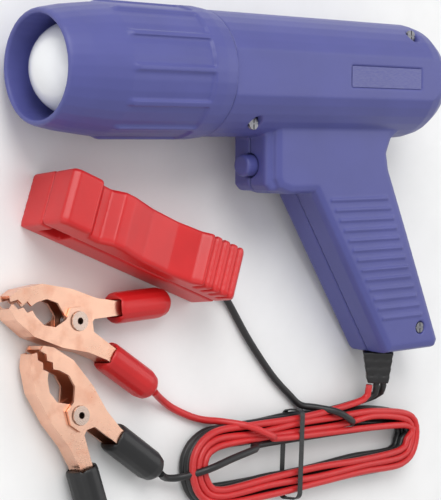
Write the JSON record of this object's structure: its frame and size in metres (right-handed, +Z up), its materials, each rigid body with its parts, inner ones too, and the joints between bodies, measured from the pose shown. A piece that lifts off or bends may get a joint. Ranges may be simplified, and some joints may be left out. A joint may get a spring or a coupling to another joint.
{
  "type": "timing light",
  "caption": "Pistol-grip xenon timing light with a domed lens, laid on its side with an inductive pickup, two battery clamps and a tied hank of leads.",
  "frame": {"origin": "middle of the object's footprint, without its free leads, on the bench it lies on", "axes": "+Z up from the bench, +X from the muzzle to the rear of the gun, +Y from the grip to the barrel"},
  "size_m": [0.2672, 0.241, 0.062],
  "materials": {
    "violet_plastic": "violet plastic",
    "frosted_lens": "frosted lens",
    "clear_glass": "clear glass",
    "bright_reflector": "bright reflector",
    "black_plastic": "black plastic",
    "board_green": "board green",
    "winding_copper": "winding copper",
    "spring_steel": "spring steel",
    "black_rubber": "black rubber",
    "screw_steel": "screw steel",
    "red_plastic": "red plastic",
    "ferrite": "ferrite",
    "red_lead": "red lead",
    "black_lead": "black lead",
    "copper_plate": "copper plate",
    "rivet_steel": "rivet steel",
    "red_sleeve": "red sleeve",
    "black_sleeve": "black sleeve"
  },
  "bodies": {
    "root": {"left_housing": "violet_plastic", "right_housing": "violet_plastic", "lens_hood": "violet_plastic", "blank_badge": "violet_plastic", "lens": "frosted_lens", "flash_tube": "clear_glass", "reflector": "bright_reflector", "tube_holder": "black_plastic", "circuit_board": "board_green", "storage_capacitor": "black_plastic", "inverter_transformer": "winding_copper", "trigger_coil": "black_plastic", "trigger_switch": "black_plastic", "button_spring": "spring_steel", "strain_relief": "black_rubber", "grip_screw": "screw_steel", "rear_screw": "screw_steel", "front_screw": "screw_steel", "pickup_base": "red_plastic", "lower_core": "ferrite", "pickup_coil": "winding_copper", "slide_spring": "spring_steel", "red_lead_gun": "red_lead", "red_lead_clamp": "red_lead", "black_lead_gun": "black_lead", "black_lead_clamp": "black_lead", "pickup_lead_gun": "black_lead", "pickup_lead_cable": "black_lead", "lead_hank": "black_lead", "red_clamp_fixed_arm": "copper_plate", "red_clamp_pivot_rivet": "rivet_steel", "red_clamp_torsion_spring": "spring_steel", "red_clamp_lead_sleeve": "red_sleeve", "black_clamp_fixed_arm": "copper_plate", "black_clamp_pivot_rivet": "rivet_steel", "black_clamp_torsion_spring": "spring_steel", "black_clamp_lead_sleeve": "black_sleeve"},
    "button": {"trigger_button": "violet_plastic"},
    "pickup_slide_body": {"pickup_slide": "red_plastic", "upper_core": "ferrite"},
    "red_jaw": {"red_clamp_moving_arm": "copper_plate", "red_clamp_free_sleeve": "red_sleeve"},
    "black_jaw": {"black_clamp_moving_arm": "copper_plate", "black_clamp_free_sleeve": "black_sleeve"}
  },
  "joints": [
    {"name": "button_press", "type": "slide", "parent": "root", "child": "button", "axis": [1, 0, 0], "range_m": [0, 0.0035], "stiffness_N_per_m": 300},
    {"name": "pickup_slide_back", "type": "slide", "parent": "root", "child": "pickup_slide_body", "axis": [0.9211, -0.3894, 0], "range_m": [0, 0.014], "stiffness_N_per_m": 150},
    {"name": "red_clamp_open", "type": "hinge", "parent": "root", "child": "red_jaw", "pos_m": [-0.09488, -0.02197, 0.008], "axis": [0, 0, -1], "range_deg": [0, 15], "stiffness_Nm_per_rad": 0.3},
    {"name": "black_clamp_open", "type": "hinge", "parent": "root", "child": "black_jaw", "pos_m": [-0.09788, -0.06397, 0.008], "axis": [0, 0, 1], "range_deg": [0, 15], "stiffness_Nm_per_rad": 0.3}
  ]
}
